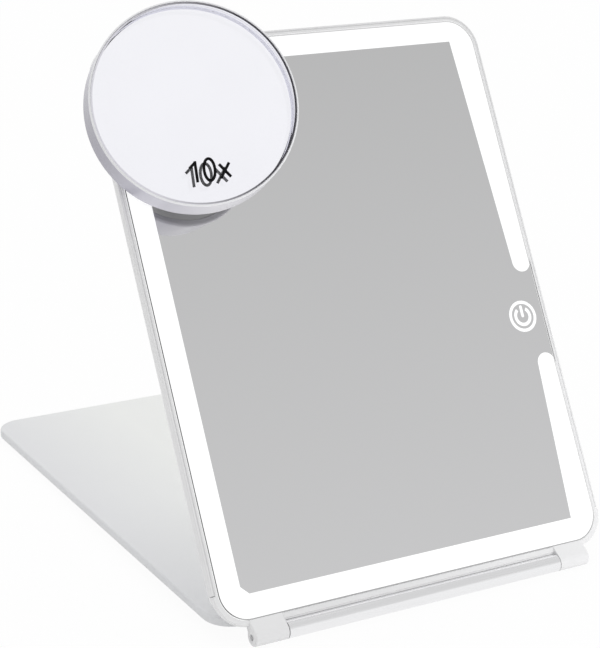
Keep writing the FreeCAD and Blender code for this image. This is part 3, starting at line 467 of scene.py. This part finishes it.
def dress_inside():
    """Materials of the pieces that the shells cover."""
    sheets = (
        ("glass_tape", "tape_black", (0.012, 0.012, 0.013), (0.02, 0.02, 0.021), 0.7, 1200.0, 0.00002),
        ("diffuser_film", "opal_film", (0.86, 0.86, 0.85), (0.9, 0.9, 0.89), 0.5, 800.0, 0.00001),
        ("reflector_sheet", "white_reflector", (0.87, 0.87, 0.86), (0.91, 0.91, 0.9), 0.35, 500.0, 0.00001),
        ("battery_cell", "cell_foil", (0.52, 0.53, 0.55), (0.62, 0.63, 0.65), 0.3, 300.0, 0.00003),
        ("main_board", "board_green", (0.015, 0.085, 0.04), (0.025, 0.12, 0.06), 0.4, 600.0, 0.00001),
        ("touch_pad", "sensor_copper", (0.5, 0.25, 0.12), (0.6, 0.32, 0.17), 0.35, 900.0, 0.00001),
        ("cover_core", "core_board", (0.62, 0.58, 0.5), (0.7, 0.66, 0.58), 0.85, 700.0, 0.00005),
        ("rubber_feet", "foot_rubber", (0.3, 0.3, 0.31), (0.38, 0.38, 0.39), 0.75, 1500.0, 0.00003),
        ("base_pad", "pad_silicone", (0.6, 0.6, 0.62), (0.68, 0.68, 0.7), 0.55, 1500.0, 0.00002),
    )
    for node, *look in sheets:
        dress(soft_sheet(*look), node)
    strips = [name for name in nodes if name.startswith("led_strip")]
    dress(soft_sheet("strip_white", (0.8, 0.79, 0.72), (0.87, 0.86, 0.8), 0.45, 400.0, 0.00002), *strips)


def ball_centre():
    """The centre of the magnifier's ball."""
    tilt = [joint for joint in frame["joints"] if joint["name"] == "magnifier_tilt"][0]
    return Vector(tilt["pos_m"])


def turned_edge(name):
    """Radius of a turned node of the head, and the depths of its front and back edges, from the ball."""
    origin = ball_centre()
    places = []
    for vertex in nodes[name].data.vertices:
        away = vertex.co - origin
        depth = away.dot(HEAD_OUT)
        places.append(((away - HEAD_OUT * depth).length, depth))
    reach = max(radius for radius, depth in places)
    edge = [depth for radius, depth in places if radius > reach - EDGE_IN * MM]
    return reach, max(edge), min(edge)


def glass_limits():
    """Half width, lowest and highest edge and front of the mirror's glass, in the panel's plane."""
    places = [vertex.co for vertex in nodes["light_window"].data.vertices]
    ups = [place.dot(PANEL_UP) for place in places]
    front = max(place.dot(PANEL_OUT) for place in places)
    return max(place.x for place in places), min(ups), max(ups), front


def panel_place(across, up, out):
    """A place from its distances along the panel's axes."""
    return SIDEWAYS * across + PANEL_UP * up + PANEL_OUT * out


def bowl_depth(reach, edge, radius):
    """Depth of the hollow glass at a radius, for a face that ends at an edge's depth."""
    sag = LENS_SAG * MM
    bowl = (reach ** 2 + sag ** 2) / (2 * sag)
    return edge - math.sqrt(bowl ** 2 - radius ** 2) + math.sqrt(bowl ** 2 - reach ** 2)


def link_piece(name, shape, material, body):
    """Make a piece from a mesh under work and let it ride on a body."""
    mesh = bpy.data.meshes.new(name)
    shape.to_mesh(mesh)
    shape.free()
    mesh.materials.append(material)
    piece = bpy.data.objects.new(name, mesh)
    bpy.context.scene.collection.objects.link(piece)
    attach(piece, body)
    return piece


def sweep(shape, rails, closed):
    """Join four rails to a solid strip, a loop or with flat ends; its first side is in the next material."""
    count = len(rails[0])
    for rail, other in zip(rails, rails[1:] + rails[:1]):
        for step in range(count if closed else count - 1):
            after = (step + 1) % count
            face = shape.faces.new((rail[step], rail[after], other[after], other[step]))
            face.material_index = int(rail is rails[0])
    if not closed:
        for end in (0, -1):
            shape.faces.new([rail[end] for rail in rails])
    bmesh.ops.recalc_face_normals(shape, faces=shape.faces)


def ring_places(shape, middle, radius):
    """Points round the head's axis in a mesh under work."""
    places = []
    for step in range(TURN_STEPS):
        angle = 2 * math.pi * step / TURN_STEPS
        around = HEAD_RIGHT * math.cos(angle) + PANEL_UP * math.sin(angle)
        places.append(shape.verts.new(middle + around * radius))
    return places


def rounded_outline(half, low, high, radius):
    """Points round a rectangle with round corners, in the panel's plane."""
    points = []
    corners = (
        (half - radius, high - radius, 0.0),
        (radius - half, high - radius, 0.5),
        (radius - half, low + radius, 1.0),
        (half - radius, low + radius, 1.5),
    )
    for across, up, turn in corners:
        for step in range(CORNER_STEPS + 1):
            angle = math.pi * (turn + 0.5 * step / CORNER_STEPS)
            points.append((across + radius * math.cos(angle), up + radius * math.sin(angle)))
    return points


def turn_profile(profile):
    """A turned solid round the head's axis, from (radius, depth) points that start and end on it."""
    origin = ball_centre()
    shape = bmesh.new()
    rings = []
    for radius, depth in profile:
        middle = origin + HEAD_OUT * depth
        rings.append(ring_places(shape, middle, radius) if radius else [shape.verts.new(middle)])
    for inner, outer in zip(rings, rings[1:]):
        for step in range(TURN_STEPS):
            after = (step + 1) % TURN_STEPS
            corners = [inner[step % len(inner)], outer[step % len(outer)]]
            corners += [outer[after % len(outer)], inner[after % len(inner)]]
            shape.faces.new(list(dict.fromkeys(corners)))
    bmesh.ops.recalc_face_normals(shape, faces=shape.faces)
    for face in shape.faces:
        face.smooth = True
    return shape


def hollow_disc(reach, front, back, outer):
    """Profile of a hollow disc: front face, bevelled edge, back face of the same bowl."""
    bevel = LENS_BEVEL * MM if front - back > 2 * LENS_BEVEL * MM else 0.0
    radii = [(outer - bevel) * ring / LENS_RINGS for ring in range(LENS_RINGS + 1)]
    faces = [(radius, bowl_depth(reach, front, radius)) for radius in radii]
    rim = bowl_depth(reach, front, outer)
    if bevel:
        faces += [(outer, rim - bevel), (outer, rim - front + back + bevel)]
    faces += [(radius, bowl_depth(reach, back, radius)) for radius in reversed(radii)]
    return faces


def silver_cup():
    """Profile of the silvering: it covers the glass's back and turns up round its edge."""
    reach, front, back = turned_edge("magnifier_glass")
    inner = reach - SILVER_IN * MM
    outer = inner + SILVER_THICK * MM
    top = front - SILVER_TOP * MM
    floor = back + SILVER_IN * MM
    radii = [inner * ring / LENS_RINGS for ring in range(LENS_RINGS + 1)]
    cup = [(radius, bowl_depth(reach, floor, radius)) for radius in radii]
    cup += [(inner, top), (outer, top)]
    under = floor - SILVER_THICK * MM
    cup += [(outer, bowl_depth(reach, under, outer))]
    cup += [(radius, bowl_depth(reach, under, radius)) for radius in reversed(radii)]
    return cup


def make_lens():
    """The magnifier's clear glass and the silver behind it, finely turned."""
    reach, front, back = turned_edge("magnifier_glass")
    clear = clear_solid("clear_glass", (0.985, 0.985, 0.995), GLASS_IOR, 0.006)
    shape = turn_profile(hollow_disc(reach, front, back, reach))
    glass = link_piece("lens_glass", shape, clear, "magnifier_head")
    glass.data.set_sharp_from_angle(angle=SHARP_ANGLE)
    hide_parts("magnifier_glass")
    low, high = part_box("magnifier_mirror")
    # The lens silver's tone rises slightly from the bottom to the top: painted shade.
    bright = silvered_painted_shade("bright_silver", (0.9, 0.9, 0.935), (0.92, 0.92, 0.95), low[2], high[2])
    silver = link_piece("lens_silver", turn_profile(silver_cup()), bright, "magnifier_head")
    silver.data.set_sharp_from_angle(angle=SHARP_ANGLE)
    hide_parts("magnifier_mirror")


def ribbon(points, closed):
    """The two sides of a stroke along points in the figure's plane."""
    count = len(points)
    left, right = [], []
    for index, point in enumerate(points):
        before = points[index - 1] if index or closed else point
        after = points[(index + 1) % count] if closed or index + 1 < count else point
        along = (Vector(after) - Vector(before)).normalized()
        across = Vector((-along.y, along.x)) * (FIGURE_STROKE / 2)
        left.append(Vector(point) + across)
        right.append(Vector(point) - across)
    return left, right


def figure_strokes():
    """The strokes of 1, 0 and x in millimetres, before their lean, and whether each is a loop."""
    half = FIGURE_STROKE / 2
    top = FIGURE_HEIGHT
    flag = (ONE_STEM + ONE_FLAG[0], top + ONE_FLAG[1])
    oval = []
    for step in range(ZERO_STEPS):
        angle = 2 * math.pi * step / ZERO_STEPS
        rise = (top / 2 + half * ZERO_OVER) * math.sin(angle)
        oval.append((ZERO_MIDDLE + ZERO_HALF * math.cos(angle), top / 2 + rise))
    left = CROSS_MIDDLE - CROSS_HALF
    right = CROSS_MIDDLE + CROSS_HALF
    return (
        ([(ONE_STEM, 0.0), (ONE_STEM, top)], False),
        ([flag, (ONE_STEM + half * FLAG_ACROSS, top - half * FLAG_DOWN)], False),
        (oval, True),
        ([(left, 0.0), (right, CROSS_HEIGHT)], False),
        ([(left, CROSS_HEIGHT), (right, 0.0)], False),
    )


def on_glass(edge, flat):
    """The place on the magnifier's hollow front face in line with a point of the figure."""
    across = (flat.x + FIGURE_LEAN * flat.y) * MM
    up = (FIGURE_BASE + flat.y) * MM
    reach, front, _ = edge
    depth = bowl_depth(reach, front, math.hypot(across, up))
    return ball_centre() + HEAD_RIGHT * across + PANEL_UP * up + HEAD_OUT * depth


def print_figure():
    """The printed magnification: thin ink that follows the glass, on a grey primer."""
    edge = turned_edge("magnifier_glass")
    shape = bmesh.new()
    for points, closed in figure_strokes():
        left, right = ribbon(points, closed)
        rails = []
        for side, lift in ((left, 0.0), (right, 0.0), (right, INK_THICK), (left, INK_THICK)):
            places = [on_glass(edge, corner) + HEAD_OUT * (lift * MM) for corner in side]
            rails.append([shape.verts.new(place) for place in places])
        sweep(shape, rails, closed)
    figure = link_piece("magnifier_figure", shape, ink("print_black"), "magnifier_head")
    primer = soft_sheet("print_primer", (0.09, 0.09, 0.095), (0.12, 0.12, 0.125), 0.6, 900.0, 0.000002)
    figure.data.materials.append(primer)


def seal_lens_edge():
    """Dark line printed round the rim of the magnifier's glass, paled at the left by painted shade, silver
    on its underside.
    """
    reach, front, _ = turned_edge("magnifier_glass")
    origin = ball_centre()
    outer = reach - EDGE_IN * MM
    inner = outer - EDGE_WIDTH * MM
    over = EDGE_LIFT + INK_THICK
    shape = bmesh.new()
    rails = []
    for radius, lift in ((inner, EDGE_LIFT), (outer, EDGE_LIFT), (outer, over), (inner, over)):
        depth = bowl_depth(reach, front, radius) + lift * MM
        rails.append(ring_places(shape, origin + HEAD_OUT * depth, radius))
    sweep(shape, rails, True)
    line = link_piece("lens_edge_ink", shape, edge_ink_painted_shade(origin, reach), "magnifier_head")
    line.data.materials.append(bpy.data.materials["bright_silver"])


def seam_glass():
    """The ground edge of the mirror's glass, a thin flat loop with painted shade."""
    half, low, high, front = glass_limits()
    over = SEAM_LIFT + INK_THICK
    shape = bmesh.new()
    rails = []
    for width, lift in ((0.0, SEAM_LIFT), (SEAM_WIDTH, SEAM_LIFT), (SEAM_WIDTH, over), (0.0, over)):
        inset = width * MM
        outline = rounded_outline(half - inset, low + inset, high - inset, GLASS_CORNER * MM - inset)
        places = [panel_place(across, up, front + lift * MM) for across, up in outline]
        rails.append([shape.verts.new(place) for place in places])
    sweep(shape, rails, True)
    edge = ground_edge_painted_shade()
    seam = link_piece("glass_edge_seam", shape, edge, "panel")
    seam.data.materials.append(edge)


def fill_groove_painted_light():
    """A pale strip in the groove between the frame and the rear shell's lip: painted light where the
    groove's shade would show.
    """
    half, low, high, front = glass_limits()
    start = low + GLASS_CORNER * MM
    near, far = GROOVE_FILL_NEAR, GROOVE_FILL_FAR
    corners = ((near, GROOVE_FILL_FRONT), (far, GROOVE_FILL_FRONT), (far, GROOVE_FILL_BACK), (near, GROOVE_FILL_BACK))
    shape = bmesh.new()
    rails = []
    for grown, depth in corners:
        side = half + grown * MM
        outline = rounded_outline(side, low, high + grown * MM, (GLASS_CORNER + grown) * MM)
        path = [(side, start), *outline[:2 * (CORNER_STEPS + 1)], (-side, start)]
        out = front - depth * MM
        rails.append([shape.verts.new(panel_place(across, up, out)) for across, up in path])
    sweep(shape, rails, False)
    pale_fill = soft_sheet("groove_fill_painted_light", (0.8, 0.8, 0.805), (0.84, 0.84, 0.845), 0.6, 1500.0, 0.00001)
    fill_strip = link_piece("groove_fill_strip", shape, pale_fill, "panel")
    fill_strip.data.materials.append(pale_fill)


def seen_ray(tree):
    """1 for camera, glossy and transmission rays, else 0."""
    path = tree.nodes.new("ShaderNodeLightPath")
    either = extreme(tree, "MAXIMUM", path.outputs["Is Camera Ray"], path.outputs["Is Glossy Ray"])
    return extreme(tree, "MAXIMUM", either, path.outputs["Is Transmission Ray"])


def room_direction(tree):
    """The direction in which a part of the room lies."""
    return tree.nodes.new("ShaderNodeTexCoord").outputs["Generated"]


def white_room():
    """World: where it is seen or mirrored white, greyer above at the right; else a plain fill."""
    world = bpy.data.worlds.new("room")
    world.use_nodes = True
    tree = world.node_tree
    sky = tree.nodes["Background"]
    sky.inputs["Color"].default_value = (1.0, 1.0, 1.0, 1.0)
    split = tree.nodes.new("ShaderNodeSeparateXYZ")
    tree.links.new(room_direction(tree), split.inputs["Vector"])
    above = tone_step(tree, split.outputs["Z"], ABOVE_FROM, ABOVE_TO, 1.0, ABOVE_TONE)
    left = tone_step(tree, split.outputs["X"], RIGHT_FROM, RIGHT_TO, 1.0, 0.0)
    level = tree.nodes.new("ShaderNodeMapRange")
    level.inputs["To Min"].default_value = ROOM_FILL
    tree.links.new(seen_ray(tree), level.inputs["Value"])
    tree.links.new(extreme(tree, "MAXIMUM", above, left), level.inputs["To Max"])
    tree.links.new(level.outputs["Result"], sky.inputs["Strength"])
    bpy.context.scene.world = world


def make_floor():
    """A wide pale floor that shows white and keeps a faint shadow."""
    half = FLOOR_SIZE / 2
    corners = [(-half, -half, 0.0), (half, -half, 0.0), (half, half, 0.0), (-half, half, 0.0)]
    mesh = bpy.data.meshes.new("floor")
    mesh.from_pydata(corners, [], [(0, 1, 2, 3)])
    made, tree, shader = new_material("pale_floor")
    set_values(shader, Base_Color=FLOOR_COLOUR, Roughness=0.9, Specular_IOR_Level=0.0)
    glow = tree.nodes.new("ShaderNodeEmission")
    mix = tree.nodes.new("ShaderNodeMixShader")
    share = tree.nodes.new("ShaderNodeMath")
    share.operation = "MULTIPLY"
    share.inputs[1].default_value = FLOOR_WHITE
    tree.links.new(seen_ray(tree), share.inputs[0])
    tree.links.new(share.outputs["Value"], mix.inputs["Fac"])
    tree.links.new(shader.outputs["BSDF"], mix.inputs[1])
    tree.links.new(glow.outputs["Emission"], mix.inputs[2])
    tree.links.new(mix.outputs["Shader"], tree.nodes["Material Output"].inputs["Surface"])
    mesh.materials.append(made)
    floor = bpy.data.objects.new("floor", mesh)
    bpy.context.scene.collection.objects.link(floor)


def place_lamp(name, lamp):
    """Put a lamp into the scene that no polished surface shows."""
    holder = bpy.data.objects.new(name, lamp)
    holder.visible_camera = False
    holder.visible_glossy = False
    holder.visible_transmission = False
    bpy.context.scene.collection.objects.link(holder)
    return holder


def make_lamps():
    """A wide soft lamp from behind and above, and a small one at the right."""
    sun = bpy.data.lights.new("back_lamp", "SUN")
    sun.energy = SUN_STRENGTH
    sun.angle = math.radians(SUN_SPREAD)
    place_lamp("back_lamp", sun).rotation_euler = [math.radians(turn) for turn in SUN_TURN]
    side = bpy.data.lights.new("side_lamp", "AREA")
    side.energy = SIDE_POWER
    side.size = SIDE_SIZE
    holder = place_lamp("side_lamp", side)
    holder.location = SIDE_PLACE
    holder.rotation_euler = Vector(SIDE_PLACE).to_track_quat("Z", "Y").to_euler()


def make_camera():
    """The camera of the photograph."""
    camera = bpy.data.cameras.new("camera")
    camera.sensor_width = SENSOR_WIDTH
    camera.lens = SENSOR_WIDTH * FOCAL_PIXELS / PICTURE_HEIGHT
    holder = bpy.data.objects.new("camera", camera)
    holder.location = CAMERA_PLACE
    holder.rotation_euler = [math.radians(turn) for turn in CAMERA_TURN]
    bpy.context.scene.collection.objects.link(holder)
    bpy.context.scene.camera = holder


dress_nodes()
make_lens()
print_figure()
seal_lens_edge()
seam_glass()
fill_groove_painted_light()
white_room()
make_floor()
make_lamps()
make_camera()
bpy.context.scene.view_settings.view_transform = "Standard"
